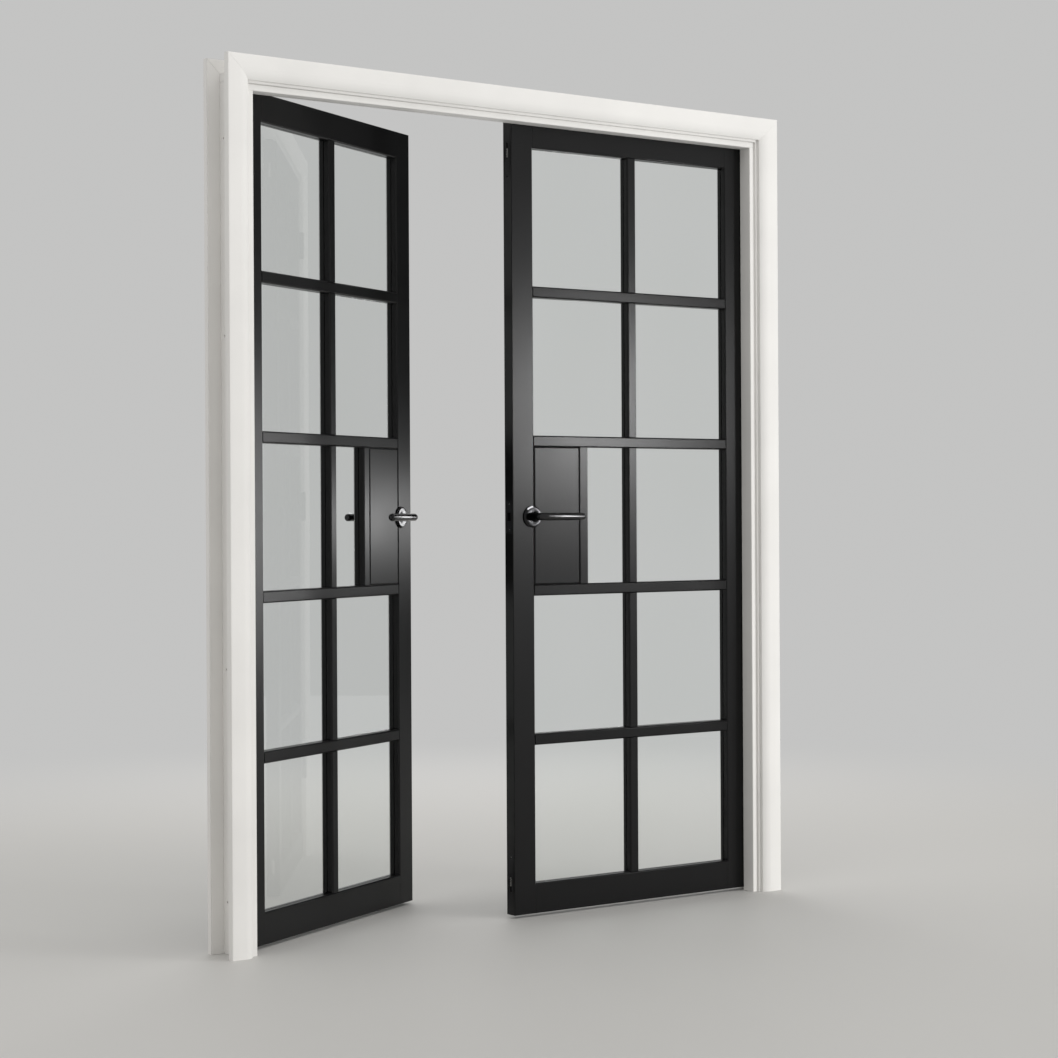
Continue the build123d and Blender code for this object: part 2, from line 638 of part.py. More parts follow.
def latch_case():
    """Case let into the stile, with its forend: the bolt slides in it and the follower turns in it."""
    half = CASE_THICK / 2
    head_height = BOLT_HEIGHT / 2 + SLIDE_CLEARANCE
    head_width = BOLT_THICK / 2 + SLIDE_CLEARANCE
    with BuildPart() as case:
        block((0, MID_LEAF - FOREND_WIDTH / 2, HANDLE_Z - FOREND_HEIGHT / 2),
              (FOREND_THICK, MID_LEAF + FOREND_WIDTH / 2, HANDLE_Z + FOREND_HEIGHT / 2))
        block((FOREND_THICK, MID_LEAF - half, HANDLE_Z - CASE_HEIGHT / 2),
              (CASE_BACK, MID_LEAF + half, HANDLE_Z + CASE_HEIGHT / 2))
        block((FOREND_THICK + CASE_WALL, MID_LEAF - half + CASE_WALL,
               HANDLE_Z - CASE_HEIGHT / 2 + CASE_WALL),
              (CASE_BACK - CASE_WALL, MID_LEAF + half - CASE_WALL,
               HANDLE_Z + CASE_HEIGHT / 2 - CASE_WALL), mode=Mode.SUBTRACT)
        block((0, MID_LEAF - head_width, HANDLE_Z - head_height),
              (FOREND_THICK + CASE_WALL, MID_LEAF + head_width, HANDLE_Z + head_height), mode=Mode.SUBTRACT)
        with BuildSketch(LATCH_PLANE):
            with Locations((BACKSET, 0)):
                Circle(JOURNAL_DIAMETER / 2 + JOURNAL_CLEARANCE)
            with Locations((BACKSET - ROSE_BOLT_SPACING / 2, 0)):
                Circle(ROSE_BOLT_DIAMETER / 2 + SLIDE_CLEARANCE)
        extrude(amount=CASE_THICK, both=True, mode=Mode.SUBTRACT)
        add(screw_set(FOREND_SCREWS).part, mode=Mode.SUBTRACT)
    return case


def latch_bolt():
    """Bevelled bolt, sprung out, whose tail is notched for the follower's arm."""
    near = MID_LEAF - BOLT_THICK / 2
    far = MID_LEAF + BOLT_THICK / 2
    rear = BOLT_LENGTH
    tail_start = FOREND_THICK + CASE_WALL + SLIDE_CLEARANCE
    notch = BACKSET - LATCH_THROW / 2
    tail_end = notch + NOTCH_HALF + TAIL_WALL
    with BuildPart() as bolt:
        with BuildSketch(Plane.XY.offset(HANDLE_Z - BOLT_HEIGHT / 2)):
            with BuildLine():
                Polyline((0, near), (rear, near), (rear, far), (-LATCH_THROW, far),
                         (-LATCH_THROW, far - BOLT_NOSE), close=True)
            make_face()
        extrude(amount=BOLT_HEIGHT)
        with BuildSketch(LATCH_PLANE):
            with BuildLine():
                Polyline((tail_start, 0), (rear, 0), (rear, TAIL_LOW), (notch - NOTCH_HALF, TAIL_LOW),
                         (notch - NOTCH_HALF, NOTCH_TOP), (notch + NOTCH_HALF, NOTCH_TOP),
                         (notch + NOTCH_HALF, TAIL_LOW), (tail_end, TAIL_LOW), (tail_end, TAIL_TOP),
                         (tail_start, TAIL_TOP), close=True)
            make_face()
        extrude(amount=TAIL_THICK / 2, both=True)
    return bolt


def latch_follower():
    """Hub on the spindle whose arm draws the bolt back when the lever is pressed."""
    arm_angle = LATCH_TURN / 2
    tip = (BACKSET - ARM_REACH * sin(ARM_SWING), ARM_REACH * cos(ARM_SWING))
    arm_middle = (BACKSET - ARM_REACH / 2 * sin(ARM_SWING), ARM_REACH / 2 * cos(ARM_SWING))
    with BuildPart() as follower:
        with BuildSketch(LATCH_PLANE):
            with Locations((BACKSET, 0)):
                Circle(HUB_DIAMETER / 2)
            with Locations(arm_middle):
                Rectangle(ARM_WIDTH, ARM_REACH, rotation=arm_angle)
            with Locations(tip):
                Circle(ARM_TIP_DIAMETER / 2)
        extrude(amount=BOLT_THICK / 2, both=True)
        with BuildSketch(LATCH_PLANE):
            with Locations((BACKSET, 0)):
                Circle(JOURNAL_DIAMETER / 2)
        extrude(amount=CASE_THICK / 2, both=True)
        with BuildSketch(LATCH_PLANE):
            with Locations((BACKSET, 0)):
                Rectangle(SPINDLE_SIDE, SPINDLE_SIDE)
        extrude(amount=CASE_THICK, both=True, mode=Mode.SUBTRACT)
    return follower


def strike_plate():
    """Plate in the right leaf's meeting edge that the latch bolt springs into."""
    with BuildPart() as plate:
        block((0, MID_LEAF - FOREND_WIDTH / 2, HANDLE_Z - FOREND_HEIGHT / 2),
              (STRIKE_THICK, MID_LEAF + FOREND_WIDTH / 2, HANDLE_Z + FOREND_HEIGHT / 2))
        block((0, MID_LEAF - STRIKE_HOLE_WIDTH / 2, HANDLE_Z - STRIKE_HOLE_HEIGHT / 2),
              (STRIKE_THICK, MID_LEAF + STRIKE_HOLE_WIDTH / 2, HANDLE_Z + STRIKE_HOLE_HEIGHT / 2),
              mode=Mode.SUBTRACT)
        add(screw_set(FOREND_SCREWS).part, mode=Mode.SUBTRACT)
    return plate


# Flush bolts, at the top of the right leaf; the bottom ones are their mirror images

def thumb_range():
    """Lowest and highest point of the thumb piece with the bolt drawn back."""
    middle = LEAF_HEIGHT - BOLT_PLATE_LENGTH / 2 - ROD_THROW / 2
    return middle - THUMB_LENGTH / 2, middle + THUMB_LENGTH / 2


def bolt_body():
    """Edge plate with the bore behind it that guides the rod, and the slot for the thumb piece."""
    foot = LEAF_HEIGHT - BOLT_PLATE_LENGTH
    thumb_low, thumb_high = thumb_range()
    slot = THUMB_WIDTH / 2 + SLIDE_CLEARANCE
    with BuildPart() as body:
        add(bolt_blank().part)
        with BuildSketch(Plane.XY.offset(LEAF_HEIGHT)):
            with Locations((ROD_X, MID_LEAF)):
                Circle(ROD_DIAMETER / 2 + ROD_CLEARANCE)
        extrude(amount=foot + BOLT_EAR + BOLT_PLATE_THICK - LEAF_HEIGHT, mode=Mode.SUBTRACT)
        block((0, MID_LEAF - slot, thumb_low - SLIDE_CLEARANCE),
              (ROD_X, MID_LEAF + slot, thumb_high + ROD_THROW + SLIDE_CLEARANCE), mode=Mode.SUBTRACT)
        add(screw_set(BOLT_SCREW_PLACES).part, mode=Mode.SUBTRACT)
    return body


def flush_bolt():
    """Round rod with a ribbed thumb piece; its end is just below the leaf's top when drawn back."""
    thumb_low, thumb_high = thumb_range()
    rod_foot = LEAF_HEIGHT - BOLT_PLATE_LENGTH + BOLT_EAR + BOLT_PLATE_THICK + SLIDE_CLEARANCE
    rib = THUMB_LENGTH / (2 * THUMB_RIBS - 1)
    with BuildPart() as bolt:
        with BuildSketch(Plane.XY.offset(rod_foot)):
            with Locations((ROD_X, MID_LEAF)):
                Circle(ROD_DIAMETER / 2)
        extrude(amount=LEAF_HEIGHT - ROD_END_GAP - rod_foot)
        chamfer(bolt.faces().sort_by(Axis.Z)[-1].edges(), ROD_CHAMFER)
        block((0, MID_LEAF - THUMB_WIDTH / 2, thumb_low),
              (ROD_X, MID_LEAF + THUMB_WIDTH / 2, thumb_high))
        for groove in range(1, THUMB_RIBS):
            foot = thumb_low + (2 * groove - 1) * rib
            block((0, MID_LEAF - THUMB_WIDTH / 2, foot),
                  (THUMB_GROOVE_DEPTH, MID_LEAF + THUMB_WIDTH / 2, foot + rib), mode=Mode.SUBTRACT)
    return bolt


# Frame timber, in the doorway's frame, on the right

def jamb():
    """Lining that carries the right leaf, recessed for its hinges and bored for the wall fixings."""
    with BuildPart() as lining:
        block((OPENING_HALF, FRAME_NEAR, 0), (JAMB_BACK, LEAF_THICK, JAMB_TOP))
        for middle in HINGE_HEIGHTS:
            foot = middle - HINGE_HEIGHT / 2
            block((OPENING_HALF, LEAF_THICK - HINGE_PLATE_WIDTH, foot),
                  (OPENING_HALF + HINGE_PLATE_THICK, LEAF_THICK, foot + HINGE_HEIGHT), mode=Mode.SUBTRACT)
        add(screw_set(JAMB_HINGE_SCREWS).part, mode=Mode.SUBTRACT)
        with Locations(*[Location((OPENING_HALF, MID_LEAF, z), (0, -90, 0)) for z in FIXING_HEIGHTS]):
            CounterSinkHole(FIXING_DIAMETER / 2, FIXING_HEAD_DIAMETER / 2, depth=LINING_THICK)
    return lining


def keep_hole(depth):
    """Square hole over the top bolt's rod."""
    keep_x = MEETING_GAP / 2 + ROD_X
    half = ROD_DIAMETER / 2 + KEEP_CLEARANCE
    with BuildPart() as hole:
        block((keep_x - half, MID_LEAF - half, SOFFIT), (keep_x + half, MID_LEAF + half, SOFFIT + depth))
    return hole


def head():
    """Head lining, trenched over the jambs, with its bolt hole under the keep plate."""
    keep_x = MEETING_GAP / 2 + ROD_X
    with BuildPart() as lining:
        block((-JAMB_BACK, FRAME_NEAR, SOFFIT), (JAMB_BACK, LEAF_THICK, HEAD_TOP))
        for low_x in (-JAMB_BACK, OPENING_HALF):
            block((low_x, FRAME_NEAR, SOFFIT), (low_x + LINING_THICK, LEAF_THICK, JAMB_TOP),
                  mode=Mode.SUBTRACT)
        block((keep_x - KEEP_LENGTH / 2, MID_LEAF - BOLT_PLATE_WIDTH / 2, SOFFIT),
              (keep_x + KEEP_LENGTH / 2, MID_LEAF + BOLT_PLATE_WIDTH / 2, SOFFIT + KEEP_THICK),
              mode=Mode.SUBTRACT)
        add(keep_hole(ROD_THROW).part, mode=Mode.SUBTRACT)
        add(screw_set(KEEP_SCREWS).part, mode=Mode.SUBTRACT)
    return lining


def bolt_keep():
    """Plate let into the head, with the hole that the top bolt shoots into."""
    keep_x = MEETING_GAP / 2 + ROD_X
    with BuildPart() as plate:
        block((keep_x - KEEP_LENGTH / 2, MID_LEAF - BOLT_PLATE_WIDTH / 2, SOFFIT),
              (keep_x + KEEP_LENGTH / 2, MID_LEAF + BOLT_PLATE_WIDTH / 2, SOFFIT + KEEP_THICK))
        add(keep_hole(KEEP_THICK).part, mode=Mode.SUBTRACT)
        add(screw_set(KEEP_SCREWS).part, mode=Mode.SUBTRACT)
    return plate


def side_stop():
    """Stop on the right jamb, with its two edges towards the doorway rounded."""
    with BuildPart() as stop:
        block((OPENING_HALF - STOP_THICK, -STOP_CLEARANCE - STOP_WIDTH, 0),
              (OPENING_HALF, -STOP_CLEARANCE, SOFFIT - STOP_THICK))
        fillet(stop.edges().filter_by(Axis.Z).group_by(Axis.X)[0], STOP_ROUND)
    return stop


def head_stop():
    """Stop under the head, from jamb to jamb."""
    with BuildPart() as stop:
        block((-OPENING_HALF, -STOP_CLEARANCE - STOP_WIDTH, SOFFIT - STOP_THICK),
              (OPENING_HALF, -STOP_CLEARANCE, SOFFIT))
        fillet(stop.edges().filter_by(Axis.X).group_by(Axis.Z)[0], STOP_ROUND)
    return stop


def architrave_section():
    """Moulded section: thin inner edge at the origin, swelling to a flat, rounded outside."""
    shoulder = ARCHITRAVE_WIDTH - ARCHITRAVE_ROUND
    with BuildSketch() as section:
        with BuildLine():
            Line((0, 0), (0, MOULDING_EDGE))
            TangentArc((MOULDING_WIDTH, ARCHITRAVE_THICK), (0, MOULDING_EDGE), tangent=(-1, 0))
            Line((MOULDING_WIDTH, ARCHITRAVE_THICK), (shoulder, ARCHITRAVE_THICK))
            outside = (ARCHITRAVE_WIDTH, ARCHITRAVE_THICK - ARCHITRAVE_ROUND)
            TangentArc((shoulder, ARCHITRAVE_THICK), outside, tangent=(1, 0))
            Polyline(outside, (ARCHITRAVE_WIDTH, 0), (0, 0))
        make_face()
    return section


ARCHITRAVE_X = OPENING_HALF + ARCHITRAVE_MARGIN
ARCHITRAVE_Z = SOFFIT + ARCHITRAVE_MARGIN
MITRE_RIGHT = Plane(origin=(ARCHITRAVE_X, 0, ARCHITRAVE_Z), x_dir=(0, 1, 0), z_dir=(-1, 0, 1))
MITRE_LEFT = Plane(origin=(-ARCHITRAVE_X, 0, ARCHITRAVE_Z), x_dir=(0, 1, 0), z_dir=(1, 0, 1))


def side_architrave():
    """Right leg of the near architrave, mitred at the top."""
    foot = Plane(origin=(ARCHITRAVE_X, FRAME_NEAR, 0), x_dir=(1, 0, 0), z_dir=(0, 0, -1))
    section = architrave_section()
    with BuildPart() as leg:
        with BuildSketch(foot):
            add(section.sketch)
        extrude(amount=-ARCHITRAVE_Z - ARCHITRAVE_WIDTH)
        split(bisect_by=MITRE_RIGHT, keep=Keep.BOTTOM)
    return leg


def head_architrave():
    """Near architrave over the head, mitred at both ends."""
    end = ARCHITRAVE_X + ARCHITRAVE_WIDTH
    start = Plane(origin=(-end, FRAME_NEAR, ARCHITRAVE_Z), x_dir=(0, 0, 1), z_dir=(1, 0, 0))
    section = architrave_section()
    with BuildPart() as top:
        with BuildSketch(start):
            add(section.sketch)
        extrude(amount=2 * end)
        split(bisect_by=MITRE_RIGHT, keep=Keep.TOP)
        split(bisect_by=MITRE_LEFT, keep=Keep.TOP)
    return top


# The frame

save(image(jamb(), Plane.YZ), "left_jamb")
save(jamb(), "right_jamb")
save(head(), "head_jamb")
save(image(side_stop(), Plane.YZ), "left_stop")
save(side_stop(), "right_stop")
save(head_stop(), "head_stop")
save(bolt_keep(), "bolt_keep")

FRAME_MID_PLANE = Plane.XZ.offset(-MID_FRAME)
leg = side_architrave()
save(image(leg, Plane.YZ), "left_architrave_near")
save(leg, "right_architrave_near")
save(head_architrave(), "head_architrave_near")
far_leg = image(leg, FRAME_MID_PLANE)
save(image(far_leg, Plane.YZ), "left_architrave_far")
save(far_leg, "right_architrave_far")
save(image(head_architrave(), FRAME_MID_PLANE), "head_architrave_far")

# What the frame carries for the hinges

every_second = range(0, KNUCKLES, 2)
with BuildPart() as jamb_plates:
    add(hinge_set(hinge_half(every_second, PIN_DIAMETER), PIN_X, 0).part)
    add(screw_set(JAMB_HINGE_SCREWS).part, mode=Mode.SUBTRACT)
pins = hinge_set(hinge_pin(), PIN_X, 0)
jamb_screws = screw_set(JAMB_HINGE_SCREWS)
save(image(jamb_plates, Plane.YZ), "left_jamb_hinge_plates")
save(jamb_plates, "right_jamb_hinge_plates")
save(image(pins, Plane.YZ), "left_hinge_pins")
save(pins, "right_hinge_pins")
with BuildPart() as frame_screws:
    add(jamb_screws.part)
    mirror(jamb_screws.part, about=Plane.YZ)
    add(screw_set(KEEP_SCREWS).part)
save(frame_screws, "frame_screws")

# The two leaves

between = range(1, KNUCKLES, 2)
leaf_hinge_half = image(hinge_half(between, PIN_DIAMETER + 2 * PIN_CLEARANCE), Plane.YZ)
with BuildPart() as leaf_plates:
    add(hinge_set(leaf_hinge_half, PIN_X - MEETING_GAP / 2, FLOOR_GAP).part)
    add(screw_set(LEAF_HINGE_SCREWS).part, mode=Mode.SUBTRACT)

near_lever = lever()
far_lever = image(near_lever, LEAF_MID_PLANE)
bottom_rail = rail(rail_blank(BOTTOM_RAIL_HEIGHT))
top_rail = rail(image(rail_blank(TOP_RAIL_HEIGHT), LEAF_MID_HEIGHT))
both_roses = pair(rose())

for side in ("left", "right"):
    hang(meeting_stile(side), side, f"{side}_meeting_stile")
    hang(hinge_stile(), side, f"{side}_hinge_stile")
    hang(top_rail, side, f"{side}_top_rail")
    hang(bottom_rail, side, f"{side}_bottom_rail")
    hang(cross_bars(), side, f"{side}_cross_bars")
    hang(upright_bars(), side, f"{side}_upright_bars")
    hang(lock_block(side), side, f"{side}_lock_block")
    hang(lock_bar(), side, f"{side}_lock_bar")
    hang(glass(), side, f"{side}_glass")
    hang(beads(), side, f"{side}_beads")
    hang(leaf_plates, side, f"{side}_leaf_hinge_plates")
    hang(screw_set(LEAF_SCREWS[side]), side, f"{side}_leaf_screws")
    hang(both_roses, side, f"{side}_roses")
    hang(rose_bolts(), side, f"{side}_rose_bolts")
    hang(near_lever, side, f"{side}_lever_near")
    hang(far_lever, side, f"{side}_lever_far")
    hang(spindle(), side, f"{side}_spindle")

hang(latch_case(), "left", "latch_case")
hang(latch_bolt(), "left", "latch_bolt")
hang(latch_follower(), "left", "latch_follower")
hang(strike_plate(), "right", "strike_plate")

top_body = bolt_body()
with BuildPart() as bolt_bodies:
    add(top_body.part)
    mirror(top_body.part, about=LEAF_MID_HEIGHT)
top_bolt = flush_bolt()
hang(bolt_bodies, "right", "bolt_bodies")
hang(top_bolt, "right", "top_bolt")
hang(image(top_bolt, LEAF_MID_HEIGHT), "right", "bottom_bolt")
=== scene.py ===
import json
import math

import bmesh
import bpy
from mathutils import Matrix, Vector

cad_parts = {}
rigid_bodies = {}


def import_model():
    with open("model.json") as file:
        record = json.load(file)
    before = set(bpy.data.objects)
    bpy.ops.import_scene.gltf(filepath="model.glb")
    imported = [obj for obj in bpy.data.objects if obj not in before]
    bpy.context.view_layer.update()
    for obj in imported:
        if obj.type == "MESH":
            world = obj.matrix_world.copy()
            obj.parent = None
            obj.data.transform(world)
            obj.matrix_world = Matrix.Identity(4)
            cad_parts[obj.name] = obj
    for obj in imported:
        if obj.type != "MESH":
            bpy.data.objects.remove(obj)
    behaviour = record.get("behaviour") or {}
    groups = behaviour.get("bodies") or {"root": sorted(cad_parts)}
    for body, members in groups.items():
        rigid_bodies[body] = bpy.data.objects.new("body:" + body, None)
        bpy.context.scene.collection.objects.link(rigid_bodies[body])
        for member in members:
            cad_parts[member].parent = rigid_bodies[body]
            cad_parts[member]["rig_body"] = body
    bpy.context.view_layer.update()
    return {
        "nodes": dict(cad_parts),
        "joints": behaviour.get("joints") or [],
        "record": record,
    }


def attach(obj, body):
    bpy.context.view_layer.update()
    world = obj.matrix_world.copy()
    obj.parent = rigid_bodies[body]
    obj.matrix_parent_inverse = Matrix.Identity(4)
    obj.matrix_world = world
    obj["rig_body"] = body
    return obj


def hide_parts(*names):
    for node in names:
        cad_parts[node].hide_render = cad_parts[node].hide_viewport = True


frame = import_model()

# Camera: place, turn from +Y towards +X, roll and centre, solved from the photograph's straight edges
CAMERA_PLACE = (-3.4098, -4.7761, 1.0045)
CAMERA_TURN = math.radians(35.925)
CAMERA_ROLL = math.radians(-0.304)
SENSOR = 36.0
LENS = 80.36
PICTURE_SHIFT = -0.01335
VIEW_END = 200

# Colours, linear
BACKDROP = (0.55, 0.55, 0.545)
FLOOR = (0.60, 0.595, 0.58)
LEAF_BLACK = (0.0046, 0.0046, 0.0048)
FRAME_WHITE = (0.80, 0.79, 0.77)
HANDLE_BLACK = (0.045, 0.045, 0.046)
# The roses' black is the handles' black metal made darker: painted shade, so that their polished faces read
# dark
ROSE_SHADED_BLACK = (0.025, 0.025, 0.026)
FITTINGS_BLACK = (0.012, 0.012, 0.013)
STEEL = (0.56, 0.55, 0.53)
GLASS_LOW = (0.93, 0.955, 0.945)
GLASS_HIGH = (0.95, 0.97, 0.965)
GLASS_SHADOW = (0.9, 0.93, 0.92)
CARD_BLACK = (0.02, 0.02, 0.02)

# Sheen: roughness of each finish, and the gloss of the black paints
LEAF_ROUGHNESS = 0.29
FRAME_ROUGHNESS = 0.42
HANDLE_ROUGHNESS = 0.15
ROSE_ROUGHNESS = 0.12
FITTINGS_ROUGHNESS = 0.4
STEEL_ROUGHNESS = 0.3
FLOOR_ROUGHNESS = 0.55
BLACK_GLOSS = 0.22
GLASS_IOR = 1.45

# Part of the noise's range that tones and sheen are spread over
NOISE_LOW = 0.3
NOISE_HIGH = 0.7

# Sprayed paint: cloudiness and orange peel. Scales are per metre, depths in metres.
CLOUD_SCALE = 7
CLOUD_TONE = 0.05
CLOUD_SHEEN = 0.01
PEEL_SCALE = 500
PEEL_DEPTH = 0.000003

# Brushed paint: streaks drawn out along the timber, and slow waves under them
STREAK_SCALE = 450
STREAK_DRAW = 0.02
STREAK_SHEEN = 0.05
STREAK_DEPTH = 0.000035
WAVE_SCALE = 30
WAVE_DEPTH = 0.00008
BRUSHED_CLOUD_SCALE = 5
BRUSHED_CLOUD_TONE = 0.03

# Metal's grain, steel's drawn out along its length, and the unevenness of float glass
GRAIN_SCALE = 500
GRAIN_DEPTH = 0.00001
POLISHED_GRAIN = 0.08
STEEL_GRAIN = 0.2
STEEL_DRAW = (1, 1, 0.04)
GLASS_SCALE = 3
GLASS_DEPTH = 0.0002

# Light from all round
ROOM_LIGHT = 0.72
ROOM_TONE = (1.0, 0.985, 0.96)

# Lamps that light everything and that gloss doesn't show: place, point they face, size, power
LAMPS = {
    "key": ((3.9, -5.0, 1.0), (0.1, 0.0, 0.8), (2.2, 1.7), 170),
    "low": ((2.4, -4.6, 0.35), (0.0, 0.0, 1.9), (2.5, 0.5), 8),
    "above": ((-0.5, -1.8, 4.2), (-0.2, -0.2, 1.0), (4.0, 1.5), 16),
    "far_room": ((2.6, 4.2, 2.6), (0.0, 0.2, 0.8), (3.0, 2.4), 70),
}

# Windows that gloss shows: the same values, their turn in degrees and the pieces that they light alone
WINDOWS = {
    "window": ((1.70, -1.90, 1.38), (0.27, 0.0, 1.31), (0.2, 0.46), 21, 0, "leaves"),
    "front_window": ((1.85, -0.55, 1.0), (-0.6, 0.07, 1.0), (0.3, 0.9), 15, 0, "leaves"),
    "garden_window": ((2.14, 0.13, 1.0), (-0.21, 0.28, 1.0), (0.2, 0.12), 3.3, 0, "left_leaf"),
    "tall_window": ((4.05, -4.8, 1.7), (0.1, 0.0, 1.0), (0.42, 3.2), 160, 0, "handles"),
    "ceiling": ((0.9, -1.7, 4.1), (0.9, -1.7, 0.0), (3.2, 0.8), 300, 28, "roses"),
    "tall_door": ((5.0, 0.0, 1.3), (-0.2, 0.28, 1.0), (0.35, 2.4), 48, 0, "left_handles"),
}

# Dark card that only gloss sees: how far right it stands, its near and far edge, its height
CARD_PLACE = 7.0
CARD_NEAR = -2.4
CARD_FAR = 4.0
CARD_HEIGHT = 6.0

# Floor disc: its colour passes into the backdrop's between these distances from the doorway
FLOOR_RADIUS = 40.0
FLOOR_SIDES = 96
FADE_START = 1.9
FADE_END = 4.8

# Arrises of the painted timber: how far they are eased, and the shortest edge that is
LEAF_EASING = 0.0005
FRAME_EASING = 0.0009
BEAD_EASING = 0.0004
EASED_LENGTH = 0.02
EASED_ANGLE = math.radians(30)
EASING_STEPS = 2
FLAT_ANGLE = math.radians(1)
SAME_POINT = 0.000001

LEAF_TIMBER = ("meeting_stile", "hinge_stile", "top_rail", "bottom_rail", "cross_bars", "upright_bars",
               "lock_block", "lock_bar")
FRAME_UPRIGHTS = ("left_jamb", "right_jamb", "left_stop", "right_stop", "left_architrave_near",
                  "right_architrave_near", "left_architrave_far", "right_architrave_far")
FRAME_HEADS = ("head_jamb", "head_stop", "head_architrave_near", "head_architrave_far")

# Handles: sizes of the solids that these pieces stand for
HALF_LEAF = 0.0175
ROSE_RADIUS = 0.0275
ROSE_RIM = 0.0055
ROSE_BEVEL = 0.0045
ROSE_THICK = 0.009
ROSE_EASING = 0.0006
ROSE_BORE = 0.0096
LEVER_RADIUS = 0.00945
LEVER_REACH = 0.129
LEVER_STANDOFF = 0.048
LEVER_BEND = 0.014
LEVER_END_ROUND = 0.006
LEVER_START = 0.0005
ROUND_STEPS = 64
BEND_STEPS = 16
END_STEPS = 8
SMOOTH_ANGLE = math.radians(40)

# Screws: the solids' sizes as radii and length, and the recess and thread that they leave out
SCREW_HEAD = 0.0035
SCREW_SHANK = 0.00175
SCREW_LENGTH = 0.02
SCREW_RIM = 0.0002
RIM_REACH = 2.1 * SCREW_SHANK
SCREW_SPIN = 2.4
RECESS_REACH = 0.002
RECESS_HALF_WIDTH = 0.0005
RECESS_DEPTH = 0.0013
RECESS_FLOOR = 0.5
THREAD_START = 0.006
THREAD_PITCH = 0.0016
THREAD_CORE = 0.0012
THREAD_POINT = 0.003
THREAD_STEPS = 6
THREAD_FLANK = 0.25
POINT_SHARE = 0.04


def camera():
    forward = Vector((math.sin(CAMERA_TURN), math.cos(CAMERA_TURN), 0))
    level = Vector((math.cos(CAMERA_TURN), -math.sin(CAMERA_TURN), 0))
    up = Vector((0, 0, 1))
    right = math.cos(CAMERA_ROLL) * level + math.sin(CAMERA_ROLL) * up
    top = math.cos(CAMERA_ROLL) * up - math.sin(CAMERA_ROLL) * level
    data = bpy.data.cameras.new("camera")
    data.sensor_fit = "HORIZONTAL"
    data.sensor_width = SENSOR
    data.lens = LENS
    data.shift_y = PICTURE_SHIFT
    data.clip_end = VIEW_END
    lens = bpy.data.objects.new("camera", data)
    turn = Matrix((right, top, -forward)).transposed().to_4x4()
    lens.matrix_world = Matrix.Translation(CAMERA_PLACE) @ turn
    bpy.context.scene.collection.objects.link(lens)
    bpy.context.scene.camera = lens


def area_light(name, place, target, size, power, turn=0):
    data = bpy.data.lights.new(name, "AREA")
    data.shape = "RECTANGLE"
    data.size, data.size_y = size
    data.energy = power
    lamp = bpy.data.objects.new(name, data)
    direction = Vector(target) - Vector(place)
    lamp.rotation_euler = direction.to_track_quat("-Z", "Y").to_euler()
    lamp.rotation_euler.rotate_axis("Z", math.radians(turn))
    lamp.location = place
    lamp.visible_camera = False
    lamp.visible_transmission = False
    lamp.visible_glossy = False
    bpy.context.scene.collection.objects.link(lamp)
    return lamp


def gathered(name, objects, state):
    """Collection of objects that a lamp reaches alone, or that it passes by."""
    group = bpy.data.collections.new(name)
    for piece in objects:
        group.objects.link(piece)
    for entry in group.collection_objects:
        entry.light_linking.link_state = state
    return group


def on_left(pieces):
    """Those pieces that belong to the left leaf."""
    return [piece for piece in pieces if piece.name.startswith("left_")]


def lights(leaves, grips):
    """Broad soft lamps, and windows that the leaves' paint or the handles mirror."""
    for name, values in LAMPS.items():
        area_light(name, *values)
    roses = [piece for piece in grips if piece.name.endswith("_rose_covers")]
    groups = {"leaves": leaves, "left_leaf": on_left(leaves),
              "handles": grips, "left_handles": on_left(grips), "roses": roses}
    past_handles = gathered("past_handles", grips, "EXCLUDE")
    for name, (*values, group) in WINDOWS.items():
        lamp = area_light(name, *values)
        lamp.visible_glossy = True
        lamp.light_linking.receiver_collection = gathered(group, groups[group], "INCLUDE")
        if group in ("leaves", "left_leaf"):
            lamp.light_linking.blocker_collection = past_handles


def new_nodes(holder):
    holder.use_nodes = True
    tree = holder.node_tree
    tree.nodes.clear()
    return tree


def world():
    """Even soft light from all round. Camera, gloss and glass see the backdrop instead."""
    sky = bpy.data.worlds.new("studio")
    bpy.context.scene.world = sky
    tree = new_nodes(sky)
    path = tree.nodes.new("ShaderNodeLightPath")
    seen = path.outputs["Is Camera Ray"]
    for other in ("Is Glossy Ray", "Is Transmission Ray"):
        either = tree.nodes.new("ShaderNodeMath")
        either.operation = "MAXIMUM"
        tree.links.new(seen, either.inputs[0])
        tree.links.new(path.outputs[other], either.inputs[1])
        seen = either.outputs[0]
    lit = tree.nodes.new("ShaderNodeBackground")
    lit.inputs["Color"].default_value = (*ROOM_TONE, 1)
    lit.inputs["Strength"].default_value = ROOM_LIGHT
    shown = tree.nodes.new("ShaderNodeBackground")
    shown.inputs["Color"].default_value = (*BACKDROP, 1)
    mix = tree.nodes.new("ShaderNodeMixShader")
    output = tree.nodes.new("ShaderNodeOutputWorld")
    tree.links.new(seen, mix.inputs[0])
    tree.links.new(lit.outputs[0], mix.inputs[1])
    tree.links.new(shown.outputs[0], mix.inputs[2])
    tree.links.new(mix.outputs[0], output.inputs[0])


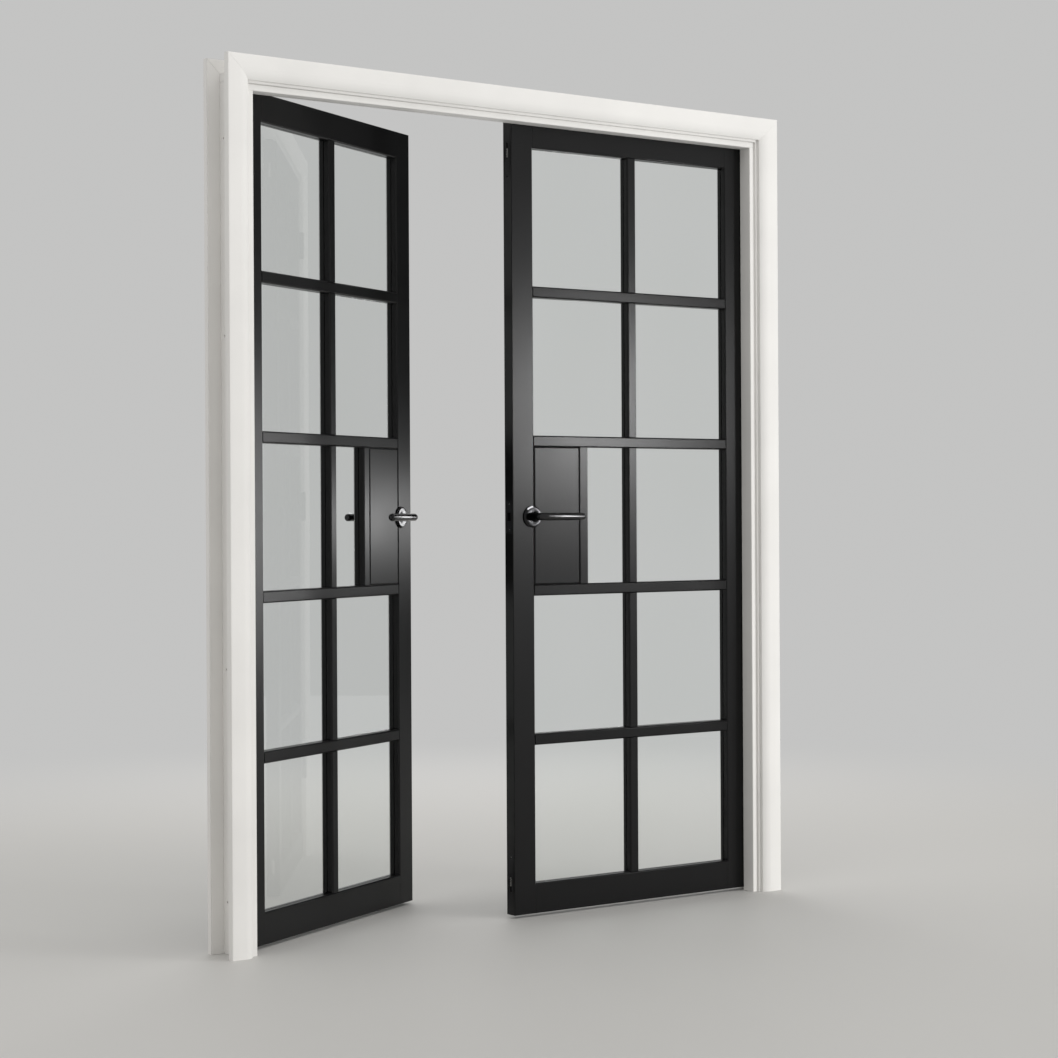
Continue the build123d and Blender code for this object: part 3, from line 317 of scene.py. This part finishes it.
def floor():
    """Pale floor whose far part passes into the backdrop, so that no horizon shows."""
    mesh = bpy.data.meshes.new("floor")
    turns = [math.tau * side / FLOOR_SIDES for side in range(FLOOR_SIDES)]
    corners = [(FLOOR_RADIUS * math.cos(turn), FLOOR_RADIUS * math.sin(turn), 0) for turn in turns]
    mesh.from_pydata(corners, [], [range(FLOOR_SIDES)])
    ground = bpy.data.objects.new("floor", mesh)
    bpy.context.scene.collection.objects.link(ground)
    finish = bpy.data.materials.new("floor")
    tree = new_nodes(finish)
    place = tree.nodes.new("ShaderNodeNewGeometry")
    length = tree.nodes.new("ShaderNodeVectorMath")
    length.operation = "LENGTH"
    fade = tree.nodes.new("ShaderNodeMapRange")
    fade.interpolation_type = "SMOOTHSTEP"
    fade.inputs["From Min"].default_value = FADE_START
    fade.inputs["From Max"].default_value = FADE_END
    matt = tree.nodes.new("ShaderNodeBsdfPrincipled")
    matt.inputs["Base Color"].default_value = (*FLOOR, 1)
    matt.inputs["Roughness"].default_value = FLOOR_ROUGHNESS
    glow = tree.nodes.new("ShaderNodeEmission")
    glow.inputs["Color"].default_value = (*BACKDROP, 1)
    mix = tree.nodes.new("ShaderNodeMixShader")
    output = tree.nodes.new("ShaderNodeOutputMaterial")
    tree.links.new(place.outputs["Position"], length.inputs[0])
    tree.links.new(length.outputs["Value"], fade.inputs["Value"])
    tree.links.new(fade.outputs["Result"], mix.inputs[0])
    tree.links.new(matt.outputs[0], mix.inputs[1])
    tree.links.new(glow.outputs[0], mix.inputs[2])
    tree.links.new(mix.outputs[0], output.inputs[0])
    mesh.materials.append(finish)


def dark_card():
    """Large dark card far to the right, which only gloss sees: the open leaf mirrors it."""
    mesh = bpy.data.meshes.new("dark_card")
    corners = [(CARD_PLACE, CARD_NEAR, 0), (CARD_PLACE, CARD_FAR, 0),
               (CARD_PLACE, CARD_FAR, CARD_HEIGHT), (CARD_PLACE, CARD_NEAR, CARD_HEIGHT)]
    mesh.from_pydata(corners, [], [(0, 1, 2, 3)])
    card = bpy.data.objects.new("dark_card", mesh)
    bpy.context.scene.collection.objects.link(card)
    card.visible_camera = False
    card.visible_diffuse = False
    card.visible_transmission = False
    card.visible_shadow = False
    finish, _, shader = surface("dark_card")
    shader.inputs["Base Color"].default_value = (*CARD_BLACK, 1)
    shader.inputs["Roughness"].default_value = 1.0
    mesh.materials.append(finish)


def noise(tree, scale, detail, stretch=(1, 1, 1)):
    """Noise in the piece's own coordinates, in metres."""
    place = tree.nodes.new("ShaderNodeTexCoord")
    sized = tree.nodes.new("ShaderNodeMapping")
    sized.inputs["Scale"].default_value = stretch
    grain = tree.nodes.new("ShaderNodeTexNoise")
    grain.inputs["Scale"].default_value = scale
    grain.inputs["Detail"].default_value = detail
    tree.links.new(place.outputs["Object"], sized.inputs["Vector"])
    tree.links.new(sized.outputs["Vector"], grain.inputs["Vector"])
    return grain.outputs["Fac"]


def ramp(tree, source, low, high):
    """Colours between two tones, spread over the noise's range."""
    tones = tree.nodes.new("ShaderNodeValToRGB")
    tones.color_ramp.elements[0].position = NOISE_LOW
    tones.color_ramp.elements[0].color = (*low, 1)
    tones.color_ramp.elements[1].position = NOISE_HIGH
    tones.color_ramp.elements[1].color = (*high, 1)
    tree.links.new(source, tones.inputs["Fac"])
    return tones.outputs["Color"]


def spread(tree, source, low, high):
    """A value between two others, spread over the noise's range."""
    wide = tree.nodes.new("ShaderNodeMapRange")
    wide.inputs["From Min"].default_value = NOISE_LOW
    wide.inputs["From Max"].default_value = NOISE_HIGH
    wide.inputs["To Min"].default_value = low
    wide.inputs["To Max"].default_value = high
    tree.links.new(source, wide.inputs["Value"])
    return wide.outputs["Result"]


def bump(tree, source, depth, under=None):
    relief = tree.nodes.new("ShaderNodeBump")
    relief.inputs["Strength"].default_value = 1.0
    relief.inputs["Distance"].default_value = depth
    tree.links.new(source, relief.inputs["Height"])
    if under:
        tree.links.new(under, relief.inputs["Normal"])
    return relief.outputs["Normal"]


def scaled(colour, factor):
    return tuple(min(1.0, c * factor) for c in colour)


def surface(name):
    """A material with one Principled shader, ready for its nodes."""
    finish = bpy.data.materials.new(name)
    tree = new_nodes(finish)
    shader = tree.nodes.new("ShaderNodeBsdfPrincipled")
    output = tree.nodes.new("ShaderNodeOutputMaterial")
    tree.links.new(shader.outputs[0], output.inputs[0])
    return finish, tree, shader


def sprayed_paint(name, colour, roughness):
    """Sprayed satin paint: faint cloudiness, a fine orange peel and uneven sheen."""
    finish, tree, shader = surface(name)
    shader.inputs["Specular IOR Level"].default_value = BLACK_GLOSS
    cloud = noise(tree, CLOUD_SCALE, 3)
    tones = ramp(tree, cloud, scaled(colour, 1 - CLOUD_TONE), scaled(colour, 1 + CLOUD_TONE))
    sheen = spread(tree, cloud, roughness - CLOUD_SHEEN, roughness + CLOUD_SHEEN)
    peel = bump(tree, noise(tree, PEEL_SCALE, 2), PEEL_DEPTH)
    tree.links.new(tones, shader.inputs["Base Color"])
    tree.links.new(sheen, shader.inputs["Roughness"])
    tree.links.new(peel, shader.inputs["Normal"])
    return finish


def brushed_paint(name, colour, roughness, along):
    """Brushed satin paint: streaks of the brush along the timber, pooled and thinned a little."""
    finish, tree, shader = surface(name)
    stretch = tuple(STREAK_DRAW if axis == along else 1 for axis in "XYZ")
    streaks = noise(tree, STREAK_SCALE, 3, stretch)
    cloud = noise(tree, BRUSHED_CLOUD_SCALE, 3)
    low, high = scaled(colour, 1 - BRUSHED_CLOUD_TONE), scaled(colour, 1 + BRUSHED_CLOUD_TONE)
    sheen = spread(tree, streaks, roughness - STREAK_SHEEN, roughness + STREAK_SHEEN)
    waves = bump(tree, noise(tree, WAVE_SCALE, 2), WAVE_DEPTH)
    tree.links.new(ramp(tree, cloud, low, high), shader.inputs["Base Color"])
    tree.links.new(sheen, shader.inputs["Roughness"])
    tree.links.new(bump(tree, streaks, STREAK_DEPTH, waves), shader.inputs["Normal"])
    return finish


def metal(name, colour, roughness, stretch, brushed):
    """Metal with a fine grain: the more brushed, the more its tone and sheen vary."""
    finish, tree, shader = surface(name)
    grain = noise(tree, GRAIN_SCALE, 3, stretch)
    less, more = 1 - brushed, 1 + brushed
    tree.links.new(ramp(tree, grain, scaled(colour, less), scaled(colour, more)), shader.inputs["Base Color"])
    tree.links.new(spread(tree, grain, roughness * less, roughness * more), shader.inputs["Roughness"])
    tree.links.new(bump(tree, grain, GRAIN_DEPTH * brushed), shader.inputs["Normal"])
    shader.inputs["Metallic"].default_value = 1.0
    return finish


def pane_glass():
    """Clear float glass, a little uneven, that lets the lamps' light through."""
    finish, tree, shader = surface("glass")
    waves = noise(tree, GLASS_SCALE, 1)
    tree.links.new(ramp(tree, waves, GLASS_LOW, GLASS_HIGH), shader.inputs["Base Color"])
    tree.links.new(bump(tree, waves, GLASS_DEPTH), shader.inputs["Normal"])
    shader.inputs["Roughness"].default_value = 0.0
    shader.inputs["IOR"].default_value = GLASS_IOR
    shader.inputs["Transmission Weight"].default_value = 1.0
    clear = tree.nodes.new("ShaderNodeBsdfTransparent")
    clear.inputs["Color"].default_value = (*GLASS_SHADOW, 1)
    path = tree.nodes.new("ShaderNodeLightPath")
    mix = tree.nodes.new("ShaderNodeMixShader")
    output = next(n for n in tree.nodes if n.type == "OUTPUT_MATERIAL")
    tree.links.new(path.outputs["Is Shadow Ray"], mix.inputs[0])
    tree.links.new(shader.outputs[0], mix.inputs[1])
    tree.links.new(clear.outputs[0], mix.inputs[2])
    tree.links.new(mix.outputs[0], output.inputs[0])
    return finish


FINISHES = {
    "leaf_black": sprayed_paint("leaf_black", LEAF_BLACK, LEAF_ROUGHNESS),
    "frame_white": brushed_paint("frame_white", FRAME_WHITE, FRAME_ROUGHNESS, "Z"),
    "glass": pane_glass(),
    "handle_black": metal("handle_black", HANDLE_BLACK, HANDLE_ROUGHNESS, (1, 1, 1), POLISHED_GRAIN),
    "fittings_black": sprayed_paint("fittings_black", FITTINGS_BLACK, FITTINGS_ROUGHNESS),
    "steel": metal("steel", STEEL, STEEL_ROUGHNESS, STEEL_DRAW, STEEL_GRAIN),
}
# The roses' finish: the handles' metal with a finer polish and a darker colour, which is painted shade
SHADED_ROSE_FINISH = metal("rose_black_shaded", ROSE_SHADED_BLACK, ROSE_ROUGHNESS, (1, 1, 1), POLISHED_GRAIN)
WHITE_ACROSS = brushed_paint("frame_white_across", FRAME_WHITE, FRAME_ROUGHNESS, "X")
SLOTS = {part["node"]: part["material_slot"] for part in frame["record"]["subparts"]}


def finish_nodes():
    """Every part of the frame takes the finish of its material slot."""
    for node, slot in SLOTS.items():
        mesh = frame["nodes"][node].data
        mesh.materials.clear()
        mesh.materials.append(FINISHES[slot])


def stand_for(piece, *nodes):
    """A piece takes the place and body of nodes, which are hidden."""
    bpy.context.scene.collection.objects.link(piece)
    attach(piece, frame["nodes"][nodes[0]]["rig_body"])
    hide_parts(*nodes)


def eased(node, easing, finish):
    """Painted timber: the node's own form, its long arrises rubbed down to a small round."""
    mesh = frame["nodes"][node].data.copy()
    mesh.name = node + "_timber"
    shape = bmesh.new()
    shape.from_mesh(mesh)
    bmesh.ops.remove_doubles(shape, verts=shape.verts, dist=SAME_POINT)
    bmesh.ops.dissolve_limit(shape, angle_limit=FLAT_ANGLE, verts=shape.verts, edges=shape.edges)
    weight = shape.edges.layers.float.get("bevel_weight_edge")
    if weight is None:
        weight = shape.edges.layers.float.new("bevel_weight_edge")
    for edge in shape.edges:
        arris = len(edge.link_faces) == 2 and edge.calc_face_angle_signed(0) > EASED_ANGLE
        edge[weight] = 1.0 if arris and edge.calc_length() > EASED_LENGTH else 0.0
    shape.to_mesh(mesh)
    shape.free()
    if "custom_normal" in mesh.attributes:
        mesh.attributes.remove(mesh.attributes["custom_normal"])
    mesh.materials.clear()
    mesh.materials.append(finish)
    mesh.shade_smooth()
    mesh.set_sharp_from_angle(angle=EASED_ANGLE)
    piece = bpy.data.objects.new(node + "_timber", mesh)
    rub = piece.modifiers.new("easing", "BEVEL")
    rub.limit_method = "WEIGHT"
    rub.width = easing
    rub.segments = EASING_STEPS
    rub.use_clamp_overlap = False
    rub.harden_normals = True
    stand_for(piece, node)
    return piece


def timber():
    """All painted timber. Gives back the leaves' pieces."""
    leaves = []
    for side in ("left", "right"):
        for name in LEAF_TIMBER:
            leaves.append(eased(f"{side}_{name}", LEAF_EASING, FINISHES["leaf_black"]))
        leaves.append(eased(f"{side}_beads", BEAD_EASING, FINISHES["leaf_black"]))
    for node in FRAME_UPRIGHTS:
        eased(node, FRAME_EASING, FINISHES["frame_white"])
    for node in FRAME_HEADS:
        eased(node, FRAME_EASING, WHITE_ACROSS)
    return leaves


def corner_arc(corner, before, after, radius, steps=5):
    """Points of a round of the given radius at a profile's corner."""
    corner, before, after = Vector(corner), Vector(before), Vector(after)
    back = (before - corner).normalized()
    on = (after - corner).normalized()
    half = back.angle(on) / 2
    reach = radius / math.tan(half)
    centre = corner + (back + on).normalized() * radius / math.sin(half)
    start = corner + back * reach - centre
    end = corner + on * reach - centre
    return [centre + start.slerp(end, i / steps).normalized() * radius for i in range(steps + 1)]


def lathe(corners, faces, profile, out, across, centre):
    """Adds a closed ring turned about an axis through a point: the profile gives radius and height."""
    rise = out.cross(across)
    first = len(corners)
    for step in range(ROUND_STEPS):
        turn = math.tau * step / ROUND_STEPS
        spoke = across * math.cos(turn) + rise * math.sin(turn)
        corners += [centre + spoke * radius + out * height for radius, height in profile]
    count = len(profile)
    for step in range(ROUND_STEPS):
        here, there = first + step * count, first + (step + 1) % ROUND_STEPS * count
        faces += [(here + i, here + (i + 1) % count, there + (i + 1) % count, there + i)
                  for i in range(count)]


def solid(name, corners, faces):
    """Smooth closed mesh object, its faces turned outwards."""
    mesh = bpy.data.meshes.new(name)
    mesh.from_pydata([tuple(corner) for corner in corners], [], faces)
    shape = bmesh.new()
    shape.from_mesh(mesh)
    bmesh.ops.recalc_face_normals(shape, faces=shape.faces)
    shape.to_mesh(mesh)
    shape.free()
    mesh.shade_smooth()
    mesh.set_sharp_from_angle(angle=SMOOTH_ANGLE)
    return bpy.data.objects.new(name, mesh)


def rose_profile():
    """Round rose with a bevelled rim, its edges polished to a small round: radius and height."""
    profile = [(ROSE_BORE, 0), (ROSE_RADIUS, 0), (ROSE_RADIUS, ROSE_RIM),
               (ROSE_RADIUS - ROSE_BEVEL, ROSE_THICK), (ROSE_BORE, ROSE_THICK)]
    eased_profile = [Vector(profile[0]), Vector(profile[1])]
    for i in (2, 3, 4):
        after = profile[(i + 1) % len(profile)]
        eased_profile += corner_arc(profile[i], profile[i - 1], after, ROSE_EASING)
    return eased_profile


def lever(name, out, along, centre):
    """Lever bent from one round bar, with a softly domed end."""
    rise = out.cross(along)
    rings = [(centre + out * LEVER_START, along, LEVER_RADIUS)]
    turn_centre = centre + out * (LEVER_STANDOFF - LEVER_BEND) + along * LEVER_BEND
    for step in range(BEND_STEPS + 1):
        angle = math.pi / 2 * step / BEND_STEPS
        spoke = out * math.sin(angle) - along * math.cos(angle)
        rings.append((turn_centre + spoke * LEVER_BEND, -spoke, LEVER_RADIUS))
    grip = centre + out * LEVER_STANDOFF
    straight = LEVER_REACH - LEVER_END_ROUND
    for step in range(END_STEPS + 1):
        angle = math.pi / 2 * step / END_STEPS
        place = straight + LEVER_END_ROUND * math.sin(angle)
        radius = LEVER_RADIUS - LEVER_END_ROUND * (1 - math.cos(angle))
        rings.append((grip + along * place, -out, radius))
    corners = []
    for middle, side, radius in rings:
        for step in range(ROUND_STEPS):
            turn = math.tau * step / ROUND_STEPS
            corners.append(middle + (side * math.cos(turn) + rise * math.sin(turn)) * radius)
    faces = []
    for ring in range(len(rings) - 1):
        here, there = ring * ROUND_STEPS, (ring + 1) * ROUND_STEPS
        for step in range(ROUND_STEPS):
            after = (step + 1) % ROUND_STEPS
            faces.append((here + step, here + after, there + after, there + step))
    faces += [tuple(range(ROUND_STEPS)), tuple(range(len(corners) - ROUND_STEPS, len(corners)))]
    return solid(name, corners, faces)


def handles():
    """Levers and roses, in the finer form that their polish asks for. Gives back all of them."""
    made = []
    joints = {joint["name"]: joint for joint in frame["joints"]}
    left, right = joints["left_lever_turn"], joints["right_lever_turn"]
    sides = (("left", left, Vector(left["axis"]), Vector(joints["latch_slide"]["axis"])),
             ("right", right, -Vector(right["axis"]), Vector((1, 0, 0))))
    for side, joint, out, along in sides:
        pin = Vector(joint["pos_m"])
        corners, faces = [], []
        for face, facing in (("near", out), ("far", -out)):
            centre = pin + facing * HALF_LEAF
            lathe(corners, faces, rose_profile(), facing, along, centre)
            grip = lever(f"{side}_{face}_grip", facing, along, centre)
            grip.data.materials.append(FINISHES["handle_black"])
            stand_for(grip, f"{side}_lever_{face}")
            made.append(grip)
        both = solid(f"{side}_rose_covers", corners, faces)
        both.data.materials.append(SHADED_ROSE_FINISH)
        stand_for(both, f"{side}_roses")
        made.append(both)
    return made


def recess_edge(turn):
    """Distance from the middle to the edge of the cross recess, at an angle."""
    from_arm = (turn + math.pi / 4) % (math.pi / 2) - math.pi / 4
    if abs(from_arm) <= math.atan2(RECESS_HALF_WIDTH, RECESS_REACH):
        return RECESS_REACH / math.cos(from_arm)
    return RECESS_HALF_WIDTH / math.sin(abs(from_arm))


def screw_rings():
    """Rings of a cross-recessed screw, its head at the origin: recess, head, neck, thread and point."""
    arm = math.atan2(RECESS_HALF_WIDTH, RECESS_REACH)
    between = (arm + math.pi / 4) / 2
    turns = [quarter * math.pi / 2 + part for quarter in range(4)
             for part in (-arm, 0, arm, between, math.pi / 4, math.pi / 2 - between)]
    rings = [[(turn, RECESS_FLOOR * recess_edge(turn), -RECESS_DEPTH) for turn in turns],
             [(turn, recess_edge(turn), 0) for turn in turns]]
    plain = ((SCREW_HEAD - SCREW_RIM, 0), (SCREW_HEAD, -SCREW_RIM),
             (SCREW_SHANK, SCREW_SHANK - SCREW_HEAD), (SCREW_SHANK, -THREAD_START))
    for radius, height in plain:
        rings.append([(turn, radius, height) for turn in turns])
    steps = round((SCREW_LENGTH - THREAD_START) / THREAD_PITCH * THREAD_STEPS)
    for step in range(1, steps + 1):
        height = THREAD_START + (SCREW_LENGTH - THREAD_START) * step / steps
        taper = min(1.0, (SCREW_LENGTH - height) / THREAD_POINT)
        ring = []
        for turn in turns:
            phase = (height / THREAD_PITCH - turn / math.tau) % 1
            crest = max(0.0, 1 - abs(phase - 0.5) / THREAD_FLANK)
            crest *= min(1.0, (height - THREAD_START) / THREAD_PITCH)
            radius = THREAD_CORE + (SCREW_SHANK - THREAD_CORE) * crest
            ring.append((turn, radius * max(POINT_SHARE, taper), -height))
        rings.append(ring)
    return rings


def middle_of(points):
    """Middle of some points, to a hundredth of a millimetre."""
    return tuple(round(sum(point[i] for point in points) / len(points), 5) for i in range(3))


def islands(node):
    """Loose parts of a node's mesh, as lists of points."""
    shape = bmesh.new()
    shape.from_mesh(frame["nodes"][node].data)
    bmesh.ops.remove_doubles(shape, verts=shape.verts, dist=SAME_POINT)
    left = dict.fromkeys(shape.verts)
    parts = []
    while left:
        edge = [left.popitem()[0]]
        part = []
        while edge:
            corner = edge.pop()
            part.append(corner.co.copy())
            for link in corner.link_edges:
                other = link.other_vert(corner)
                if other in left:
                    del left[other]
                    edge.append(other)
        parts.append(part)
    shape.free()
    return sorted(parts, key=middle_of)


def screw_axis(points):
    """Middle of the shank's end, and the direction to it from one side of the head's rim."""
    middle = sum(points, Vector()) / len(points)
    far = max(points, key=lambda point: (point - middle).length)
    rim = max(points, key=lambda point: (point - far).length)
    beside = [point for point in points if (point - rim).length < RIM_REACH]
    beside = sum(beside, Vector()) / len(beside)
    away = max((point - beside).length for point in points)
    shank_end = [point for point in points if (point - beside).length > away - SCREW_RIM]
    shank_end = sum(shank_end, Vector()) / len(shank_end)
    return shank_end, (shank_end - beside).normalized()


def screws():
    """Cross-recessed screws in the plain ones' places, but still turned round: each head is in the timber."""
    rings = screw_rings()
    around = len(rings[0])
    for node in ("frame_screws", "left_leaf_screws", "right_leaf_screws"):
        corners, faces = [], []
        for number, points in enumerate(islands(node)):
            shank_end, out = screw_axis(points)
            side = out.orthogonal().normalized()
            rise = out.cross(side)
            spin = SCREW_SPIN * number
            first = len(corners)
            for ring in rings:
                for turn, radius, height in ring:
                    spoke = side * math.cos(turn + spin) + rise * math.sin(turn + spin)
                    corners.append(shank_end + spoke * radius + out * height)
            for row in range(len(rings) - 1):
                here, there = first + row * around, first + (row + 1) * around
                faces += [(here + i, here + (i + 1) % around, there + (i + 1) % around, there + i)
                          for i in range(around)]
            faces += [tuple(range(first, first + around)), tuple(range(len(corners) - around, len(corners)))]
        piece = solid(node + "_cut", corners, faces)
        piece.data.materials.append(FINISHES[SLOTS[node]])
        stand_for(piece, node)


camera()
world()
floor()
dark_card()
finish_nodes()
leaf_timber = timber()
screws()
lights(leaf_timber, handles())
bpy.context.scene.view_settings.view_transform = "Standard"
